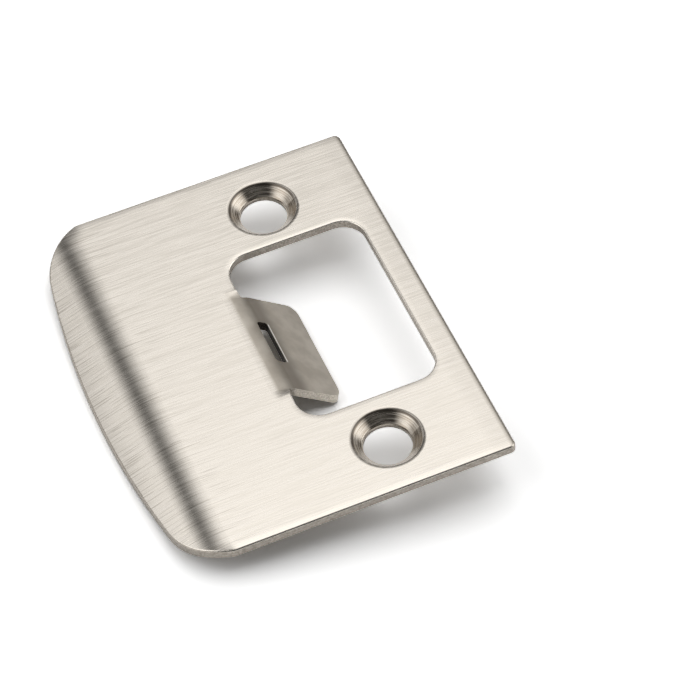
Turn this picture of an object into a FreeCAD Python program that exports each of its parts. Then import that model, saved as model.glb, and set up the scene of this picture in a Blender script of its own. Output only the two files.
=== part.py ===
# Full-lip door strike plate: one sheet of steel, blanked, pierced, formed and bent.
# Frame: millimetres. The origin lies midway between the two screw holes, on the back
# face that seats against the door jamb. +Z points out of the visible face, +X points to
# the straight edge, and Y runs along the length, through both screw holes.

import FreeCAD, Part
import math
import os

V = FreeCAD.Vector

# Sheet and outline
sheet_thickness = 1.2
plate_length = 57.0
plate_width = 45.0
hole_to_straight_edge = 13.9
straight_edge_corner_radius = 0.8
face_edge_radius = 0.28
straight_edge_roll = 0.42

# Lip that guides the latch onto the plate
lip_bend_start = 22.85
lip_bend_inner_radius = 11.4
lip_angle = 21.4
lip_end_radius = 130.0
lip_corner_radius = 8.7
lip_corner_overrun = 0.36
lip_corner_blend = 1.2

# Latch opening
opening_length = 28.35
opening_offset = 0.12
opening_width = 18.6
opening_corner_radius = 3.2
straight_edge_strip = 3.5
opening_edge_radius = 0.18

# Tang, lanced out of the opening and bent down into it
tang_width = 16.3
tang_length = 9.3
tang_end_lean = 28.0
tang_angle = 40.0
tang_bend_inner_radius = 5.2
tang_bend_angle = 28.0
tang_crease_inner_radius = 0.2
tang_free_corner_radius = 1.6
tang_root_draw = 1.1

# Slot pierced through the tang, just past its bend
slot_length = 7.05
slot_width = 1.31
slot_reach = 1.16
slot_offset = 0.12
slot_corner_radius = 0.3
slot_heel_radius = 0.8
slot_lean = 4.0

# Formed countersinks for the two screws
screw_spacing = 41.275
screw_hole_radius = 3.05
screw_land_height = 0.57
countersink_angle = 90.0
countersink_depth = 1.45
countersink_rim_radius = 0.75
countersink_rim_width = 0.44
countersink_heel_radius = 0.4
boss_wall = 0.8
boss_tip_radius = 0.25

# Edges that follow from the sizes above
face_z = sheet_thickness
straight_edge_x = hole_to_straight_edge
lip_end_x = straight_edge_x - plate_width
opening_right_x = straight_edge_x - straight_edge_strip
opening_left_x = opening_right_x - opening_width
half_length = plate_length / 2
half_tang = tang_width / 2


def line(a, b):
    return Part.makeLine(a, b)


def arc(a, mid, b):
    return Part.Arc(a, mid, b).toShape()


def corner_arc(corner, toward_a, toward_b, radius):
    """Fillet of a corner between two straight sides that meet at any angle."""
    u = (toward_a - corner).normalize()
    w = (toward_b - corner).normalize()
    half = u.getAngle(w) / 2
    bisector = (u + w).normalize()
    centre = corner + bisector * (radius / math.sin(half))
    run = radius / math.tan(half)
    return corner + u * run, centre - bisector * radius, corner + w * run


def rounded_outline(corners, radii):
    """Closed wire through the corners, each rounded by its own radius."""
    ends = []
    edges = []
    count = len(corners)
    for i in range(count):
        before = corners[i - 1]
        after = corners[(i + 1) % count]
        start, middle, end = corner_arc(corners[i], before, after, radii[i])
        edges.append(arc(start, middle, end))
        ends.append((start, end))
    for i in range(count):
        edges.append(line(ends[i][1], ends[(i + 1) % count][0]))
    return Part.Wire(Part.__sortEdges__(edges))


def bent_strip(start, stages, end_x):
    """XZ section of the sheet from start, bent down in stages about centres below it.

    Each stage is an inner radius and the angle that the sheet has reached at its end. The
    bend turns towards +X when end_x lies beyond start, and towards -X otherwise. The strip
    then runs straight, and is cut off upright at end_x."""
    side = 1 if end_x > start else -1

    def outward(turn):
        return V(side * math.sin(turn), 0, math.cos(turn))

    turn = 0
    low = V(start, 0, 0)
    edges = [line(low, low + outward(turn) * sheet_thickness)]
    for radius_inner, angle in stages:
        centre = low - outward(turn) * radius_inner
        turns = (turn, (turn + math.radians(angle)) / 2, math.radians(angle))
        for radius in (radius_inner, radius_inner + sheet_thickness):
            edges.append(arc(*[centre + outward(t) * radius for t in turns]))
        turn = turns[2]
        low = centre + outward(turn) * radius_inner
    top = low + outward(turn) * sheet_thickness
    fall = math.tan(turn)
    top_end = V(end_x, 0, top.z - abs(end_x - top.x) * fall)
    low_end = V(end_x, 0, low.z - abs(end_x - low.x) * fall)
    edges += [line(top, top_end), line(top_end, low_end), line(low_end, low)]
    return Part.Face(Part.Wire(Part.__sortEdges__(edges)))


def along_y(face, y_low, y_high):
    face = face.copy()
    face.translate(V(0, y_low, 0))
    return face.extrude(V(0, y_high - y_low, 0))


def plan_outline():
    """Outline from above: straight edge, two long sides, rounded corners and a bowed end."""
    # The bowed end is an arc centred on the X axis, and each corner arc touches it inside.
    end_centre_x = lip_end_x + lip_end_radius
    inner = lip_end_radius - lip_corner_radius
    # Its circle would overrun the long side a little, so a short tight arc joins the two.
    corner_y = half_length + lip_corner_overrun - lip_corner_radius
    corner_x = end_centre_x - math.sqrt(inner ** 2 - corner_y ** 2)
    turn = math.atan2(corner_y, corner_x - end_centre_x)
    touch = V(end_centre_x + lip_end_radius * math.cos(turn), lip_end_radius * math.sin(turn), 0)
    blend_y = half_length - lip_corner_blend
    blend_reach = lip_corner_radius - lip_corner_blend
    blend_x = corner_x - math.sqrt(blend_reach ** 2 - (blend_y - corner_y) ** 2)
    blend_turn = math.atan2(blend_y - corner_y, blend_x - corner_x)
    mid_turn = (turn + blend_turn) / 2
    mid = V(corner_x + lip_corner_radius * math.cos(mid_turn),
            corner_y + lip_corner_radius * math.sin(mid_turn), 0)
    half_turn = (blend_turn + math.pi / 2) / 2
    side_end = V(blend_x, half_length, 0)
    blend_mid, blend_end = [V(blend_x + lip_corner_blend * math.cos(t),
                              blend_y + lip_corner_blend * math.sin(t), 0)
                            for t in (half_turn, blend_turn)]
    r = straight_edge_corner_radius
    chop = r * (1 - math.sqrt(0.5))
    side_start = V(straight_edge_x - r, half_length, 0)
    corner_mid = V(straight_edge_x - chop, half_length - chop, 0)
    edge_start = V(straight_edge_x, half_length - r, 0)

    def mirror(p):
        return V(p.x, -p.y, 0)

    return Part.Wire([
        arc(edge_start, corner_mid, side_start), line(side_start, side_end),
        arc(side_end, blend_mid, blend_end), arc(blend_end, mid, touch),
        arc(touch, V(lip_end_x, 0, 0), mirror(touch)), arc(mirror(touch), mirror(mid), mirror(blend_end)),
        arc(mirror(blend_end), mirror(blend_mid), mirror(side_end)),
        line(mirror(side_end), mirror(side_start)),
        arc(mirror(side_start), mirror(corner_mid), mirror(edge_start)),
        line(mirror(edge_start), edge_start)])


def upright_prism(wire, low, high):
    wire = wire.copy()
    wire.translate(V(0, 0, low))
    return Part.Face(wire).extrude(V(0, 0, high - low))


def blank_with_lip():
    """The sheet with its lip bent down, trimmed to the outline and its face edge rolled."""
    reach = plate_width
    flat = Part.makeBox(lip_bend_start + straight_edge_x + 1, plate_length + 2, sheet_thickness,
                        V(-lip_bend_start, -half_length - 1, 0))
    lip_stages = [(lip_bend_inner_radius, lip_angle)]
    lip_section = bent_strip(-lip_bend_start, lip_stages, lip_end_x - 1)
    lip = along_y(lip_section, -half_length - 1, half_length + 1)
    sheet = flat.fuse(lip).common(upright_prism(plan_outline(), -reach, reach))
    sheet = sheet.removeSplitter()
    return rolled_edges(sheet)


def rolled_edges(sheet):
    """Rolls the rim of the visible face: widest on the straight edge, slight elsewhere."""
    work = FreeCAD.newDocument("roll")
    base = work.addObject("Part::Feature", "sheet")
    base.Shape = sheet
    rolled = work.addObject("Part::Fillet", "rolled")
    rolled.Base = base

    def roll_at(point):
        on_straight_edge = abs(point.x - straight_edge_x) < 0.01
        return straight_edge_roll if on_straight_edge else face_edge_radius

    # Each corner arc next to the straight edge is left to pass from one roll to the other.
    rolls = []
    for number, edge in enumerate(sheet.Edges, 1):
        if is_face_rim(edge):
            start, end = [roll_at(v.Point) for v in edge.Vertexes]
            if start == end:
                rolls.append((number, start, end))
    rolled.Edges = rolls
    work.recompute()
    return rolled.Shape.copy()


def face_height(x):
    """Height of the visible face at x, over the flat and over the bent lip."""
    outer = lip_bend_inner_radius + sheet_thickness
    a = math.radians(lip_angle)
    past = -lip_bend_start - x
    if past <= 0:
        return face_z
    if past < outer * math.sin(a):
        return -lip_bend_inner_radius + math.sqrt(outer ** 2 - past ** 2)
    drop = outer * (1 - math.cos(a)) + (past - outer * math.sin(a)) * math.tan(a)
    return face_z - drop


def is_face_rim(edge):
    """True for an edge that lies in the visible face and on the plate's outline."""
    mid = edge.valueAt((edge.FirstParameter + edge.LastParameter) / 2)
    points = [v.Point for v in edge.Vertexes] + [mid]
    in_face = all(abs(p.z - face_height(p.x)) < 0.01 for p in points)
    across = abs(points[0].x - points[1].x) < 0.01 and abs(mid.y) < 0.01
    inside_bend = across and points[0].x < 0 and abs(mid.x - lip_end_x) > 0.01
    return in_face and not inside_bend


def opening_prism():
    low = opening_offset - opening_length / 2
    high = opening_offset + opening_length / 2
    corners = [V(opening_left_x, low, 0), V(opening_right_x, low, 0),
               V(opening_right_x, high, 0), V(opening_left_x, high, 0)]
    wire = rounded_outline(corners, [opening_corner_radius] * 4)
    return upright_prism(wire, -plate_width, plate_width)


tang_outer_radius = tang_bend_inner_radius + sheet_thickness
tang_crease_radius = tang_crease_inner_radius + sheet_thickness
tang_turn = math.radians(tang_angle)
tang_bend_turn = math.radians(tang_bend_angle)
# The tang's flat, carried back, meets the visible face at the opening's side.
tang_bend_run = (tang_outer_radius * math.sin(tang_bend_turn)
                 + tang_crease_radius * (math.sin(tang_turn) - math.sin(tang_bend_turn)))
tang_bend_fall = (tang_outer_radius * (1 - math.cos(tang_bend_turn))
                  + tang_crease_radius * (math.cos(tang_bend_turn) - math.cos(tang_turn)))
tang_bend_start = opening_left_x - tang_bend_run + tang_bend_fall / math.tan(tang_turn)


def tang_tongue():
    """The tang itself: a soft bend, a sharper crease, and a flat with rounded free corners."""
    stages = [(tang_bend_inner_radius, tang_bend_angle), (tang_crease_inner_radius, tang_angle)]
    section = bent_strip(tang_bend_start, stages, opening_left_x + tang_length * 2)
    strip = along_y(section, -half_tang, half_tang)
    slope = V(math.cos(tang_turn), 0, -math.sin(tang_turn))
    normal = V(math.sin(tang_turn), 0, math.cos(tang_turn))
    hinge = V(opening_left_x, 0, face_z)
    behind = hinge - slope * tang_length
    tip = hinge + slope * tang_length
    side = V(0, half_tang, 0)
    corners = [behind - side, tip - side, tip + side, behind + side]
    small = straight_edge_corner_radius
    wire = rounded_outline(corners, [small, tang_free_corner_radius, tang_free_corner_radius, small])
    # The free end leans, so that the lower surface reaches further than the upper one.
    cut = normal - slope * math.tan(math.radians(tang_end_lean))
    trim = Part.Face(wire)
    trim.translate(cut)
    return strip.common(trim.extrude(cut * -(tang_length + 2)))


def root_edge(radius, z, y, share, end_x):
    """One long edge beside the root: the bend's own arc, flattened in height by share."""
    turn = math.asin((end_x - tang_bend_start) / radius)
    fall = share * radius * (1 - math.cos(turn))
    edge = Part.BezierCurve()
    edge.setPoles([V(tang_bend_start, y, z),
                   V(tang_bend_start + radius * math.tan(turn / 2), y, z),
                   V(end_x, y, z - fall)])
    edge.setWeight(2, math.cos(turn / 2))
    return edge.toShape(), V(end_x, y, z - fall)


def root_section(y, share, end_x):
    """XZ section beside the tang's root: bent at the tang, and flat a little way off."""
    top, top_end = root_edge(tang_outer_radius, face_z, y, share, end_x)
    low, low_end = root_edge(tang_bend_inner_radius, 0, y, share, end_x)
    heel = line(V(tang_bend_start, y, 0), V(tang_bend_start, y, face_z))
    return Part.Wire([top, line(top_end, low_end), low, heel])


def root_corner(side):
    """Sheet drawn down beside the tang, from the bent root to the flat plate."""
    # Beside the tang the sheet reaches as far as the inner arc of the bend does.
    flare = tang_bend_start + tang_bend_inner_radius * math.sin(tang_bend_turn) - opening_left_x
    steps = 4
    sections = []
    for i in range(steps + 1):
        s = i / steps
        share = (1 + math.cos(math.pi * s)) / 2
        end_x = opening_left_x + flare * (1 - math.sin(math.pi * s / 2))
        y = side * (half_tang + tang_root_draw * s)
        sections.append(root_section(y, share, end_x))
    return Part.makeLoft(sections, True, False)


def tang_slot():
    """Cutter for the slot, which leans back under the plate as it goes down."""
    lean = math.radians(slot_lean)
    down = V(-math.sin(lean), 0, -math.cos(lean))
    across = V(math.cos(lean), 0, -math.sin(lean))
    centre = V(opening_left_x + slot_reach, slot_offset, face_z - slot_reach * math.tan(tang_turn))
    half_w = across * (slot_width / 2)
    half_l = V(0, slot_length / 2, 0)
    corners = [centre - half_w - half_l, centre + half_w - half_l,
               centre + half_w + half_l, centre - half_w + half_l]
    small = slot_corner_radius
    face = Part.Face(rounded_outline(corners, [min(slot_heel_radius, slot_width / 2), small, small, small]))
    face.translate(down * -sheet_thickness * 2)
    return face.extrude(down * (sheet_thickness * 6))


def screw_seat_sections():
    """Half sections of a countersink: what the boss adds and what the tool cuts away."""
    half = math.radians(countersink_angle / 2)
    cone_bottom = face_z - countersink_depth
    tip = cone_bottom - screw_land_height
    # The rim is an arc that leaves the face level and meets the cone at a faint crease.
    rim = countersink_rim_radius
    turn = math.asin(countersink_rim_width / rim)
    rim_drop = rim * (1 - math.cos(turn))
    mouth = screw_hole_radius + (countersink_depth - rim_drop) * math.tan(half)
    rim_start = V(mouth + countersink_rim_width, 0, face_z)
    rim_mid = V(rim_start.x - rim * math.sin(turn / 2), 0, face_z - rim * (1 - math.cos(turn / 2)))
    rim_end = V(mouth, 0, face_z - rim_drop)
    above = face_z + 1
    below = tip - 1
    cone_end = V(screw_hole_radius, 0, cone_bottom)
    heel_start, heel_mid, heel_end = corner_arc(
        cone_end, rim_end, V(screw_hole_radius, 0, below), countersink_heel_radius)
    cut = Part.Wire([
        line(V(0, 0, above), V(rim_start.x, 0, above)), line(V(rim_start.x, 0, above), rim_start),
        arc(rim_start, rim_mid, rim_end), line(rim_end, heel_start),
        arc(heel_start, heel_mid, heel_end), line(heel_end, V(screw_hole_radius, 0, below)),
        line(V(screw_hole_radius, 0, below), V(0, 0, below)), line(V(0, 0, below), V(0, 0, above))])
    # The boss follows the cone at the wall's thickness and ends in a flat ring.
    ring = V(screw_hole_radius + boss_wall, 0, tip)
    root = V(ring.x - tip * math.tan(half), 0, 0)
    inside = V(0, 0, tip)
    tip_in, tip_mid, tip_out = corner_arc(ring, inside, root, boss_tip_radius)
    middle = face_z / 2
    boss = Part.Wire([
        line(inside, tip_in), arc(tip_in, tip_mid, tip_out), line(tip_out, root),
        line(root, V(root.x, 0, middle)), line(V(root.x, 0, middle), V(0, 0, middle)),
        line(V(0, 0, middle), inside)])
    return boss, cut


def revolved(wire, y):
    solid = Part.Face(wire).revolve(V(0, 0, 0), V(0, 0, 1), 360)
    solid.translate(V(0, y, 0))
    return solid


def strike_plate():
    plate = blank_with_lip()
    plate = plate.cut(opening_prism())
    rim = [e for e in plate.Edges if is_opening_rim(e)]
    plate = plate.makeFillet(opening_edge_radius, rim)

    # The flat sheet gives way to the bent root over the tang's width and its drawn corners.
    root_half = half_tang + tang_root_draw
    root_gap = Part.makeBox(opening_left_x + tang_length - tang_bend_start, 2 * root_half,
                            3 * sheet_thickness, V(tang_bend_start, -root_half, -sheet_thickness))
    plate = plate.cut(root_gap)
    plate = plate.fuse([tang_tongue(), root_corner(1), root_corner(-1)])
    plate = plate.cut(tang_slot())

    boss, cut = screw_seat_sections()
    for y in (-screw_spacing / 2, screw_spacing / 2):
        plate = plate.fuse(revolved(boss, y)).cut(revolved(cut, y))
    return plate.removeSplitter()


def is_opening_rim(edge):
    """True for an edge where the latch opening meets the visible face."""
    mid = edge.valueAt((edge.FirstParameter + edge.LastParameter) / 2)
    points = [v.Point for v in edge.Vertexes] + [mid]
    if any(abs(p.z - face_z) > 0.01 for p in points):
        return False
    in_x = opening_left_x - 0.1 < mid.x < opening_right_x + 0.1
    return in_x and abs(mid.y - opening_offset) < opening_length / 2 + 0.1


os.makedirs("parts", exist_ok=True)
shape = strike_plate()
if len(shape.Solids) == 1:
    shape = shape.Solids[0]
shape.exportStep("parts/strike_plate.step")
box = shape.BoundBox
print("strike_plate", shape.ShapeType, "valid", shape.isValid(), "solids", len(shape.Solids),
      "volume", round(shape.Volume, 2))
print("box", [round(c, 3) for c in (box.XMin, box.YMin, box.ZMin, box.XMax, box.YMax, box.ZMax)])
print("centre of mass", [round(c, 3) for c in shape.CenterOfMass])
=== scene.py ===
"""Looks for the door strike plate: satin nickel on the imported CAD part, a pale floor that the
plate rests on, soft studio light, and a camera at the photograph's angle."""
import math

import bpy
from mathutils import Matrix, Vector


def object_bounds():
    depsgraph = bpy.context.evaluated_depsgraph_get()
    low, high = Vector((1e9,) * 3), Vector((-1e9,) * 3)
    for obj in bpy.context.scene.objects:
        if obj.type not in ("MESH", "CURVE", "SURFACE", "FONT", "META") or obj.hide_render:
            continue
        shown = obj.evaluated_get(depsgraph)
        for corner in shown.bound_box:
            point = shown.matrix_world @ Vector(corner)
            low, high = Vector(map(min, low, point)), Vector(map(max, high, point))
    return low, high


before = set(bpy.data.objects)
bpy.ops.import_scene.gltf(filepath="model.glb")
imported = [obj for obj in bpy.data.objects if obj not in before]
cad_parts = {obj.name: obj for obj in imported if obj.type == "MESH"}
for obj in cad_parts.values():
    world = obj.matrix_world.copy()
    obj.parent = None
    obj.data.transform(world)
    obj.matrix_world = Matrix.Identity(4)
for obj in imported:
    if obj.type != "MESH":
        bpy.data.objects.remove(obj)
cad_low, cad_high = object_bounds()
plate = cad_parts["strike_plate"]

# Camera, in degrees and millimetres of the row frame. The focal length is in pixels of a
# 700 pixel frame, and the clip range in metres.
CAMERA_AZIMUTH = -18.529
CAMERA_ELEVATION = 51.195
CAMERA_ROLL = -5.358
CAMERA_PLACE = (-79.169, -245.697, 315.474)
FOCAL_PIXELS = 3221.1
FRAME_PIXELS = 700
SENSOR_WIDTH = 36.0
CLIP_RANGE = (0.01, 20.0)

# Edges and centres on the plate, in millimetres of the row frame
SCREW_Y = 20.6375
CONE_CREASE = 4.36
RIM_OUTSIDE = 4.80
OPENING_X = 1.1
OPENING_Y = 0.12
OPENING_HALF_X = 9.3
OPENING_HALF_Y = 14.175
OPENING_CORNER = 3.2
SLOT_SIDE_X = -6.32
SLOT_Y = 0.12
SLOT_HALF_Y = 3.5
ROOT_CREASE_X = -7.3
LIP_CORNER_X = -23.5
TANG_HALF_WIDTH = 8.15
TANG_ROOT_X = -9.6
FACE_Z = 1.2
STRAIGHT_EDGE_X = 13.9

# Where each zone begins and ends, in the same millimetres. Two numbers give where a zone
# is 0 and where it is 1; four give its rise and then its fall.
STRAIGHT_ROLL_X = (STRAIGHT_EDGE_X - 0.95, STRAIGHT_EDGE_X - 0.10)
LIP_ROLL_X = (LIP_CORNER_X + 0.5, LIP_CORNER_X - 1.0)
CONE_RADIUS = (CONE_CREASE + 0.02, CONE_CREASE - 0.06)
CREASE_RADIUS = (CONE_CREASE - 0.18, CONE_CREASE - 0.05, CONE_CREASE + 0.07, CONE_CREASE + 0.20)
CREASE_SIDE_Y = (-1.5, 1.0)
RIM_RADIUS = (CONE_CREASE, CONE_CREASE + 0.1, RIM_OUTSIDE - 0.2, RIM_OUTSIDE + 0.05)
TANG_X = (TANG_ROOT_X - 0.7, TANG_ROOT_X + 0.5, 0.0, 0.5)
TANG_Y = (TANG_HALF_WIDTH + 0.9, TANG_HALF_WIDTH)
TANG_Z = (FACE_Z + 0.01, FACE_Z - 0.12)
TANG_SIDE_X = (-7.6, -7.0, 0.6, 0.9)
TANG_SIDE_Y = (7.4, 7.7, 8.4, 8.6)
ROOT_CREASE_BAND = (ROOT_CREASE_X - 1.2, ROOT_CREASE_X + 0.2,
                    ROOT_CREASE_X + 0.8, ROOT_CREASE_X + 2.6)
ROOT_CORNER_X = (-10.2, -9.4, -7.2, -6.4)
ROOT_CORNER_Y = (7.9, 8.3, 9.2, 9.9)
SLOT_X = (SLOT_SIDE_X - 1.9, SLOT_SIDE_X - 1.7, SLOT_SIDE_X, SLOT_SIDE_X + 0.2)
SLOT_LENGTH = (SLOT_HALF_Y + 0.3, SLOT_HALF_Y + 0.1)
SLOT_EDGE_X = (SLOT_SIDE_X - 0.02, SLOT_SIDE_X, SLOT_SIDE_X + 0.06, SLOT_SIDE_X + 0.16)
SLOT_EDGE_LENGTH = (SLOT_HALF_Y, SLOT_HALF_Y - 0.3)

# Ranges of the normal's Z for surfaces that face up, down or part of the way
FACE_NORMAL = (0.18, 0.5)
UNDERSIDE_NORMAL = (-0.45, -0.8)
LIP_ROLL_NORMAL = (0.86, 0.66)
CONE_NORMAL = (0.05, 0.3)
UPWARD_NORMAL = (0.3, 0.5)
FLAT_NORMAL = (0.6, 0.9)
# How far the straight edge's roll lowers the normal before it is sorted by FACE_NORMAL
STRAIGHT_ROLL_CUT = 0.3

# Noise, in cells per millimetre along X, Y and Z. The brush lines run along X.
FINE_LINES = (0.12, 4.2, 0.12)
BROAD_LINES = (0.06, 1.3, 0.06)
SHORT_LINES = (0.45, 6.0, 0.45)
SCRATCHES = (0.22, 7.0, 0.22)
SCORES = (5.0, 5.0, 3.6)
GRAIN = (1.4, 1.4, 1.4)
CLOUDS = (0.35, 0.35, 0.35)
RINGS_PER_MM = 11.0
RINGS_AROUND = 1.8
# Which noise values are scratches, and how strong they are from the lip to the face
SCRATCH_RANGE = (0.60, 0.72)
SCRATCH_STRENGTH = (-25.5, -18.0, 0.55, 0.11)

# Metal colours, linear. Two are the darker and the lighter end of a pattern, after the
# range of the pattern over which they blend. The underside follows the grain as it is.
BRUSHED = ((0.38, 0.62), (0.740, 0.690, 0.617), (0.85, 0.795, 0.72))
CONE = ((0.35, 0.65), (0.29, 0.248, 0.202), (0.59, 0.54, 0.472))
TANG = ((0.3, 0.7), (0.47, 0.423, 0.36), (0.61, 0.56, 0.487))
WALL = ((0.35, 0.65), (0.23, 0.205, 0.175), (0.40, 0.365, 0.32))
# Painted shade on the slot's walls, where the slot lies in shadow
SLOT_PAINTED_SHADE = ((0.4, 0.6), (0.035, 0.028, 0.022), (0.15, 0.13, 0.11))
TANG_SIDE = ((0.35, 0.65), (0.40, 0.365, 0.31), (0.62, 0.575, 0.51))
UNDERSIDE = ((0.56, 0.52, 0.47), (0.66, 0.62, 0.56))
SCRATCH_COLOUR = (0.42, 0.38, 0.33)
# Even tints: zone, strength and colour, laid in this order. They are painted shade, apart from
# the painted highlight on the slot's edge.
PAINTED_ROLL_SHADE = (
    # Painted shade on the straight edge's roll and on the lip's bend
    ("straight_roll", 0.9, (0.28, 0.25, 0.21)),
    ("lip_roll", 0.9, (0.22, 0.195, 0.165)))
PAINTED_LINE_SHADE_AND_HIGHLIGHT = (
    # Painted shade on the rim's roll and in the crease where each cone begins
    ("rim", 0.5, (0.42, 0.38, 0.33)),
    ("crease", 0.92, (0.10, 0.082, 0.065)),
    # Painted shade in the tang's sharper bend
    ("root_crease", 0.78, (0.20, 0.172, 0.14)),
    # A painted highlight on the slot's edge
    ("painted_slot_highlight", 1.0, (0.98, 0.95, 0.90)),
    # Painted shade over the highlight at the tang's root corners
    ("root_corner", 0.45, (0.42, 0.385, 0.335)))

# Roughness over a pattern: the pattern's range, and the roughness at its two ends
BRUSHED_ROUGH = (0.35, 0.65, 0.21, 0.29)
UNDERSIDE_ROUGH = 0.42
WALL_ROUGH = (0.3, 0.7, 0.46, 0.36)
CONE_ROUGH = (0.35, 0.65, 0.17, 0.33)
TANG_ROUGH = (0.3, 0.7, 0.30, 0.38)
ANISOTROPY = 0.8

# Height of the marks, in millimetres
LINES_HEIGHT = 0.007
UNDERSIDE_HEIGHT = 0.010
WALL_HEIGHT = 0.014
RINGS_HEIGHT = 0.004
TANG_HEIGHT = 0.008

# Forms too slight for the solid, in millimetres: where each starts, and how fast it falls
LONG_SIDES_SAG = (27.3, 0.037)
STRAIGHT_EDGE_SAG = (10.5, 0.015)
OPENING_SAG = (-0.8, 0.075)
LIP_END_SAG = (28.2, 0.014)
BESIDE_TANG_Y = (TANG_HALF_WIDTH + 0.6, TANG_HALF_WIDTH + 1.6)
BEYOND_TANG_X = (0.0, 1.0)
FLARE_Y = (26.0, 28.6)
FLARE_X = (-28.5, -24.8, -24.8, -22.0)
FLARE_HEIGHT = -0.13

# Floor: half its size in metres, its mottle in cells per metre, and its greys, first as it
# lights the plate and then as it is seen
FLOOR_HALF = 1.5
FLOOR_MOTTLE = (30.0, 30.0, 30.0)
FLOOR_GREYS = (0.79, 0.81)
FLOOR_SEEN_GREYS = (2.08, 2.12)

# Studio: along each axis of the world's direction, where the light changes and, unless
# they are 0 and 1, its strengths before and after. The gap has its rise and its fall.
FRONT_Y = (-0.42, -0.05)
BACK_Y = (0.54, 0.69, 1.62, 0.32)
LEFT_END_X = (-0.58, -0.44, 0.55, 1.0)
RIGHT_X = (0.15, 0.30, 1.0, 0.86)
RIGHT_END_X = (0.35, 0.78, 1.0, 0.42)
LOW_Z = (0.05, 0.35, 0.5, 1.0)
GAP_X = (-0.50, -0.20, -0.23, 0.12)
GAP_DEPTH = 0.97
EVERYWHERE = 0.06
FRONT_FILL = (-0.2, -0.45, 0.0, 0.03)
# Reflection cards: direction, and the angles in degrees where each is full and where it ends
LEFT_CARD = ((-0.86, -0.1, 0.48), 4, 32)
RIGHT_CARD = ((0.90, -0.28, 0.34), 6, 32)
RIGHT_CARD_STRENGTH = 1.9


class Tree:
    """Short calls for building one node tree."""

    def __init__(self, tree):
        self.tree = tree
        tree.nodes.clear()

    def node(self, kind, sockets=None, **settings):
        made = self.tree.nodes.new(kind)
        for name, value in settings.items():
            setattr(made, name, value)
        for key, value in (sockets or {}).items():
            self.put(made.inputs[key], value)
        return made

    def put(self, socket, value):
        if isinstance(value, bpy.types.NodeSocket):
            self.tree.links.new(value, socket)
        else:
            socket.default_value = value

    def math(self, operation, a, b=0.0):
        return self.node("ShaderNodeMath", {0: a, 1: b}, operation=operation).outputs[0]

    def times(self, *values):
        result = values[0]
        for value in values[1:]:
            result = self.math("MULTIPLY", result, value)
        return result

    def plus(self, *values):
        result = values[0]
        for value in values[1:]:
            result = self.math("ADD", result, value)
        return result

    def larger(self, a, b):
        return self.math("MAXIMUM", a, b)

    def distance(self, value, centre):
        """How far value is from centre, never below 0."""
        return self.math("ABSOLUTE", self.plus(value, -centre))

    def length(self, a, b):
        """Length of the vector (a, b)."""
        return self.math("SQRT", self.plus(self.times(a, a), self.times(b, b)))

    def step(self, value, start, end, low=0.0, high=1.0):
        """Smooth step from low at start to high at end; start may be the larger."""
        if start > end:
            start, end, low, high = end, start, high, low
        made = self.node("ShaderNodeMapRange", {0: value, 1: start, 2: end, 3: low, 4: high},
                         interpolation_type="SMOOTHSTEP")
        return made.outputs[0]

    def band(self, value, start, full, full_end, end):
        """Rises from 0 at start to 1 at full, and falls from 1 at full_end to 0 at end."""
        return self.times(self.step(value, start, full), self.step(value, end, full_end))

    def less(self, share):
        return self.math("SUBTRACT", 1.0, share)

    def sag(self, value, start, rate):
        """Height that falls away beyond start with the square of the distance."""
        beyond = self.larger(self.plus(value, -start), 0.0)
        return self.times(beyond, beyond, -rate)

    def mix(self, share, a, b):
        """Colour a where share is 0 and b where it is 1."""
        made = self.node("ShaderNodeMix", {0: share, 6: opaque(a), 7: opaque(b)},
                         data_type="RGBA")
        return made.outputs[2]

    def graded(self, pattern, spread, dark, light):
        """Colour that follows a pattern from dark to light over the pattern's spread."""
        return self.mix(self.step(pattern, *spread), dark, light)

    def blend(self, share, a, b):
        """Number a where share is 0 and b where it is 1."""
        made = self.node("ShaderNodeMix", {0: share, 2: a, 3: b}, data_type="FLOAT")
        return made.outputs[0]

    def noise(self, vector, scale, detail=2.0, roughness=0.5):
        """Noise from 0 to 1, with its own scale along each axis."""
        scaled = self.node("ShaderNodeVectorMath", {0: vector, 1: scale}, operation="MULTIPLY")
        made = self.node("ShaderNodeTexNoise", {
            "Vector": scaled.outputs[0], "Scale": 1.0, "Detail": detail,
            "Roughness": roughness})
        return made.outputs["Fac"]

    def split(self, vector):
        return self.node("ShaderNodeSeparateXYZ", {0: vector}).outputs

    def join(self, x, y, z):
        return self.node("ShaderNodeCombineXYZ", {0: x, 1: y, 2: z}).outputs[0]


def opaque(colour):
    """A plain RGB colour with its alpha; a socket stays as it is."""
    return colour + (1.0,) if isinstance(colour, tuple) else colour


def grey(value):
    return (value, value, value)


def read_place(t):
    """Where a point of the surface lies, in millimetres, and which way it faces."""
    place = t.node("ShaderNodeTexCoord").outputs["Object"]
    scaled = t.node("ShaderNodeVectorMath", {0: place, "Scale": 1000.0}, operation="SCALE")
    mm = scaled.outputs[0]
    x, y, z = t.split(mm)
    nx, ny, nz = t.split(t.node("ShaderNodeNewGeometry").outputs["Normal"])
    far_y = t.math("ABSOLUTE", y)
    # From the nearer screw's axis
    screw_y = t.math("SUBTRACT", far_y, SCREW_Y)
    return {"mm": mm, "x": x, "y": y, "z": z, "nx": nx, "ny": ny, "nz": nz, "far_y": far_y,
            "out_y": t.times(screw_y, t.math("SIGN", y)), "radius": t.length(x, screw_y),
            "along_slot": t.distance(y, SLOT_Y)}


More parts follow.
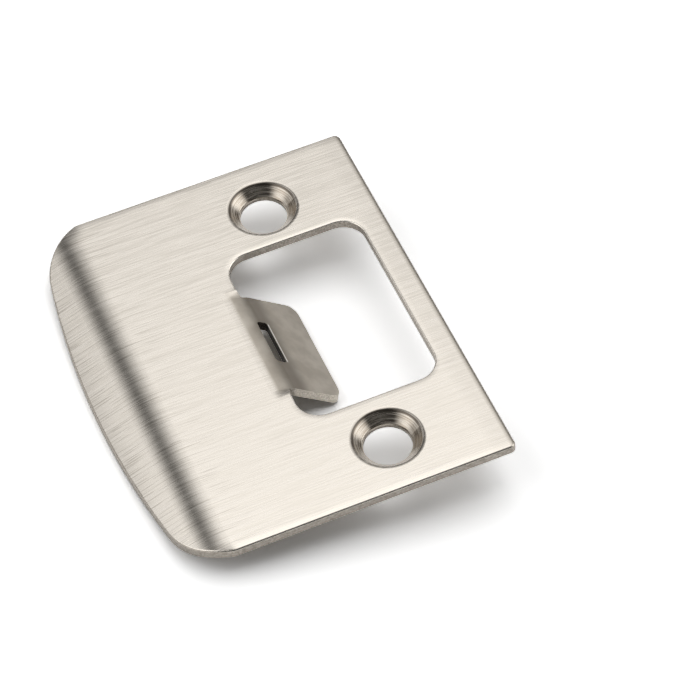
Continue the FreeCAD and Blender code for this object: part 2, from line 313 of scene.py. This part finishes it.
def find_zones(t, at):
    """Zones of the surface, each from 0 to 1."""
    x, far_y, nz, radius = at["x"], at["far_y"], at["nz"], at["radius"]
    straight_roll = t.step(x, *STRAIGHT_ROLL_X)
    lowered = t.math("SUBTRACT", nz, t.times(straight_roll, STRAIGHT_ROLL_CUT))
    faces_up = t.step(lowered, *FACE_NORMAL)
    faces_down = t.step(nz, *UNDERSIDE_NORMAL)
    upward = t.step(nz, *UPWARD_NORMAL)
    cone = t.times(t.step(radius, *CONE_RADIUS), t.step(nz, *CONE_NORMAL))
    tang = t.times(t.band(x, *TANG_X), t.step(far_y, *TANG_Y), upward,
                   t.step(at["z"], *TANG_Z))
    sheared = t.times(t.less(faces_up), t.less(faces_down), t.less(cone), t.less(tang))
    return {
        "faces_down": faces_down, "cone": cone, "tang": tang, "sheared": sheared,
        # The straight edge's roll, which also lowers the normal, and the lip's bend; both carry
        # painted shade
        "straight_roll": straight_roll,
        "lip_roll": t.times(t.step(nz, *LIP_ROLL_NORMAL), t.step(x, *LIP_ROLL_X), faces_up),
        # The walls of the slot, painted dark as shade, and the tang's two sides
        "slot_painted_shade": t.times(sheared, t.step(at["along_slot"], *SLOT_LENGTH),
                           t.band(x, *SLOT_X)),
        "tang_side": t.times(sheared, t.band(x, *TANG_SIDE_X), t.band(far_y, *TANG_SIDE_Y)),
        # The line where each cone begins, on its side towards +Y, and the rim's roll, both
        # darkened as painted shade
        "crease": t.times(t.band(radius, *CREASE_RADIUS), upward,
                          t.step(at["out_y"], *CREASE_SIDE_Y)),
        "rim": t.times(t.band(radius, *RIM_RADIUS), upward),
        # The tang's sharper bend, and the sheet drawn down at the corners of its root, both
        # darkened as painted shade
        "root_crease": t.times(t.band(x, *ROOT_CREASE_BAND), tang),
        "root_corner": t.times(t.band(far_y, *ROOT_CORNER_Y), t.band(x, *ROOT_CORNER_X),
                               faces_up),
        # A painted highlight along the slot's side towards the tang's free end
        "painted_slot_highlight": t.times(t.band(x, *SLOT_EDGE_X),
                             t.step(at["along_slot"], *SLOT_EDGE_LENGTH), tang)}


def draw_patterns(t, at):
    """Patterns of marks, each from 0 to 1."""
    mm = at["mm"]
    # Brush lines: long and thin, over broader and over shorter ones
    lines = t.plus(t.times(t.noise(mm, FINE_LINES, 1.0, 0.6), 0.5),
                   t.times(t.noise(mm, BROAD_LINES), 0.25),
                   t.times(t.noise(mm, SHORT_LINES, 1.0), 0.25))
    scratches = t.times(t.step(t.noise(mm, SCRATCHES, 0.0), *SCRATCH_RANGE),
                        t.step(at["x"], *SCRATCH_STRENGTH))
    # Turned rings follow the radius, broken up a little around the cone
    ring_place = t.join(t.times(at["radius"], RINGS_PER_MM), t.times(at["nx"], RINGS_AROUND),
                        t.times(at["ny"], RINGS_AROUND))
    return {
        "lines": lines, "scratches": scratches,
        "rings": t.noise(ring_place, (1.0, 1.0, 1.0)),
        # Upright scores on the sheared walls
        "scores": t.noise(mm, SCORES, 3.0, 0.7),
        "grain": t.noise(mm, GRAIN, 4.0, 0.6),
        "clouds": t.noise(mm, CLOUDS, 3.0, 0.6)}


def metal_colour(t, zone, pattern):
    def tint(colour, tints):
        for name, strength, over in tints:
            colour = t.mix(t.times(zone[name], strength), colour, over)
        return colour

    scores = pattern["scores"]
    colour = t.graded(pattern["lines"], *BRUSHED)
    colour = t.mix(pattern["scratches"], colour, SCRATCH_COLOUR)
    colour = t.mix(zone["faces_down"], colour, t.mix(pattern["grain"], *UNDERSIDE))
    # Painted shade on the straight edge's roll and the lip's bend
    colour = tint(colour, PAINTED_ROLL_SHADE)
    colour = t.mix(zone["sheared"], colour, t.graded(scores, *WALL))
    colour = t.mix(zone["tang_side"], colour, t.graded(scores, *TANG_SIDE))
    # Painted shade on the slot's walls
    colour = t.mix(zone["slot_painted_shade"], colour, t.graded(scores, *SLOT_PAINTED_SHADE))
    colour = t.mix(zone["cone"], colour, t.graded(pattern["rings"], *CONE))
    colour = t.mix(zone["tang"], colour, t.graded(pattern["clouds"], *TANG))
    # Painted shade along the rim, the creases and the root corners, and a painted highlight on
    # the slot's edge
    return tint(colour, PAINTED_LINE_SHADE_AND_HIGHLIGHT)


def metal_roughness(t, zone, pattern):
    rough = t.step(pattern["lines"], *BRUSHED_ROUGH)
    rough = t.blend(zone["faces_down"], rough, UNDERSIDE_ROUGH)
    rough = t.blend(zone["sheared"], rough, t.step(pattern["scores"], *WALL_ROUGH))
    rough = t.blend(zone["cone"], rough, t.step(pattern["rings"], *CONE_ROUGH))
    return t.blend(zone["tang"], rough, t.step(pattern["grain"], *TANG_ROUGH))


def marks_height(t, zone, pattern):
    """Height of the brush lines, rings, scores and grain, in millimetres."""
    marks = t.times(pattern["lines"], LINES_HEIGHT)
    for name, kind, height in (
            ("faces_down", "grain", UNDERSIDE_HEIGHT), ("sheared", "scores", WALL_HEIGHT),
            ("cone", "rings", RINGS_HEIGHT), ("tang", "grain", TANG_HEIGHT)):
        marks = t.blend(zone[name], marks, t.times(pattern[kind], height))
    return marks


def past_opening(t, at):
    """Distance outwards from the latch opening's edge, in millimetres; negative inside."""
    across = t.math("SUBTRACT", t.distance(at["x"], OPENING_X), OPENING_HALF_X - OPENING_CORNER)
    along = t.math("SUBTRACT", t.distance(at["y"], OPENING_Y), OPENING_HALF_Y - OPENING_CORNER)
    past = t.length(t.larger(across, 0.0), t.larger(along, 0.0))
    within = t.math("MINIMUM", t.larger(across, along), 0.0)
    return t.plus(past, within, -OPENING_CORNER)


def slight_forms(t, at):
    """Height of the soft forms, in millimetres: the sheet eases down towards its long
    sides, its straight edge, the latch opening and the lip's end, and towards its two ends
    the lip's bend starts a little further in."""
    x, far_y = at["x"], at["far_y"]
    beside_tang = t.larger(t.step(far_y, *BESIDE_TANG_Y), t.step(x, *BEYOND_TANG_X))
    opening = t.times(t.sag(t.times(past_opening(t, at), -1.0), *OPENING_SAG), beside_tang)
    flare = t.times(t.step(far_y, *FLARE_Y), t.band(x, *FLARE_X), FLARE_HEIGHT)
    forms = t.plus(t.sag(far_y, *LONG_SIDES_SAG), t.sag(x, *STRAIGHT_EDGE_SAG), opening,
                   t.sag(t.times(x, -1.0), *LIP_END_SAG), flare)
    return t.times(forms, t.step(at["nz"], *FLAT_NORMAL))


def satin_nickel():
    """Nickel plate: brushed across the face, turned in the countersinks, plain elsewhere, with
    painted shade on the rolls, creases, rim, root corners and slot walls and a painted
    highlight on the slot's edge.
    """
    material = bpy.data.materials.new("satin_nickel")
    material.use_nodes = True
    t = Tree(material.node_tree)
    at = read_place(t)
    zone = find_zones(t, at)
    pattern = draw_patterns(t, at)
    height = t.plus(slight_forms(t, at), marks_height(t, zone, pattern))
    bump = t.node("ShaderNodeBump", {"Strength": 1.0, "Distance": 0.001, "Height": height})
    # The blur of the reflection runs across the brush lines, and down the slope of the cones.
    downhill = t.join(at["x"], at["out_y"], 0.0)
    grooved = t.node("ShaderNodeMix", {0: zone["cone"], 4: (0.0, 1.0, 0.0), 5: downhill},
                     data_type="VECTOR")
    shader = t.node("ShaderNodeBsdfPrincipled", {
        "Base Color": metal_colour(t, zone, pattern), "Metallic": 1.0,
        "Roughness": metal_roughness(t, zone, pattern), "Anisotropic": ANISOTROPY,
        "Normal": bump.outputs[0], "Tangent": grooved.outputs[1]})
    t.node("ShaderNodeOutputMaterial", {"Surface": shader.outputs[0]})
    return material


def resting_line():
    """Slope and height, in XZ, of the plane parallel to Y that the plate lies on: the edge
    under the plate's middle of the lower hull of its vertices."""
    points = sorted((v.co.x, v.co.z) for v in plate.data.vertices)
    low = []
    for p in points:
        while len(low) > 1:
            (ax, az), (bx, bz) = low[-2], low[-1]
            if (bx - ax) * (p[1] - az) - (bz - az) * (p[0] - ax) > 0:
                break
            low.pop()
        low.append(p)
    middle = (cad_low.x + cad_high.x) / 2
    for (ax, az), (bx, bz) in zip(low, low[1:]):
        if ax <= middle <= bx:
            slope = (bz - az) / (bx - ax)
            return slope, az - slope * ax
    raise ValueError("the plate has no resting line")


def floor_material():
    """Pale grey where it lights the plate, white where it is seen, clear from beneath."""
    material = bpy.data.materials.new("pale_floor")
    material.use_nodes = True
    t = Tree(material.node_tree)
    rays = t.node("ShaderNodeLightPath").outputs
    mirrored = t.plus(rays["Is Glossy Ray"], rays["Is Transmission Ray"])
    at_first = t.math("LESS_THAN", rays["Diffuse Depth"], 0.5)
    seen = t.plus(rays["Is Camera Ray"], t.times(mirrored, at_first))
    place = t.node("ShaderNodeTexCoord").outputs["Object"]
    mottle = t.noise(place, FLOOR_MOTTLE)
    shade, bright = (t.mix(mottle, grey(dark), grey(light))
                     for dark, light in (FLOOR_GREYS, FLOOR_SEEN_GREYS))
    diffuse = t.node("ShaderNodeBsdfDiffuse", {"Color": t.mix(seen, shade, bright)})
    clear = t.node("ShaderNodeBsdfTransparent")
    backfacing = t.node("ShaderNodeNewGeometry").outputs["Backfacing"]
    beneath = t.times(backfacing, rays["Is Camera Ray"])
    surface = t.node("ShaderNodeMixShader", {
        0: beneath, 1: diffuse.outputs[0], 2: clear.outputs[0]})
    t.node("ShaderNodeOutputMaterial", {"Surface": surface.outputs[0]})
    return material


def pale_floor():
    slope, height = resting_line()
    near, far = -FLOOR_HALF, FLOOR_HALF
    corners = [(near, near), (far, near), (far, far), (near, far)]
    mesh = bpy.data.meshes.new("pale_floor")
    mesh.from_pydata([(x, y, x * slope + height) for x, y in corners], [], [(0, 1, 2, 3)])
    mesh.materials.append(floor_material())
    floor = bpy.data.objects.new("pale_floor", mesh)
    bpy.context.scene.collection.objects.link(floor)


def studio_light():
    """A soft tent, bright overhead, dimmer at the back and at both ends and dark in front,
    with one dark gap and two cards that only reflections show. The camera sees plain
    white."""
    world = bpy.data.worlds.new("studio")
    bpy.context.scene.world = world
    world.use_nodes = True
    t = Tree(world.node_tree)
    way = t.node("ShaderNodeTexCoord").outputs["Generated"]
    x, y, z = t.split(way)

    def card(direction, full, none):
        """1 within full degrees of direction, fading to 0 at none degrees."""
        centre = tuple(Vector(direction).normalized())
        dot = t.node("ShaderNodeVectorMath", {0: way, 1: centre}, operation="DOT_PRODUCT")
        return t.step(dot.outputs["Value"], math.cos(math.radians(none)),
                      math.cos(math.radians(full)))

    tent = t.times(t.step(y, *FRONT_Y), t.step(y, *BACK_Y), t.step(x, *LEFT_END_X),
                   t.step(x, *RIGHT_X), t.step(x, *RIGHT_END_X), t.step(z, *LOW_Z),
                   t.less(t.times(t.band(x, *GAP_X), GAP_DEPTH)))
    rays = t.node("ShaderNodeLightPath").outputs
    cards = t.times(t.plus(card(*LEFT_CARD), t.times(card(*RIGHT_CARD), RIGHT_CARD_STRENGTH)),
                    rays["Is Glossy Ray"])
    light = t.plus(tent, EVERYWHERE, t.step(y, *FRONT_FILL), cards)
    white = opaque(grey(1.0))
    studio = t.node("ShaderNodeBackground", {"Color": white, "Strength": light})
    plain = t.node("ShaderNodeBackground", {"Color": white, "Strength": 1.0})
    both = t.node("ShaderNodeMixShader", {
        0: rays["Is Camera Ray"], 1: studio.outputs[0], 2: plain.outputs[0]})
    t.node("ShaderNodeOutputWorld", {"Surface": both.outputs[0]})


def camera():
    a, e, r = (math.radians(v) for v in (CAMERA_AZIMUTH, CAMERA_ELEVATION, CAMERA_ROLL))
    back = Vector((math.sin(a) * math.cos(e), -math.cos(a) * math.cos(e), math.sin(e)))
    level = Vector((math.cos(a), math.sin(a), 0.0))
    upright = back.cross(level)
    right = level * math.cos(r) + upright * math.sin(r)
    up = upright * math.cos(r) - level * math.sin(r)
    data = bpy.data.cameras.new("camera")
    data.sensor_width = SENSOR_WIDTH
    data.lens = SENSOR_WIDTH * FOCAL_PIXELS / FRAME_PIXELS
    data.clip_start, data.clip_end = CLIP_RANGE
    made = bpy.data.objects.new("camera", data)
    turn = Matrix((right, up, back)).transposed().to_4x4()
    made.matrix_world = Matrix.Translation(Vector(CAMERA_PLACE) / 1000.0) @ turn
    bpy.context.scene.collection.objects.link(made)
    bpy.context.scene.camera = made


nickel = satin_nickel()
for slot in plate.material_slots:
    slot.material = nickel
pale_floor()
studio_light()
camera()
bpy.context.scene.view_settings.view_transform = "Standard"
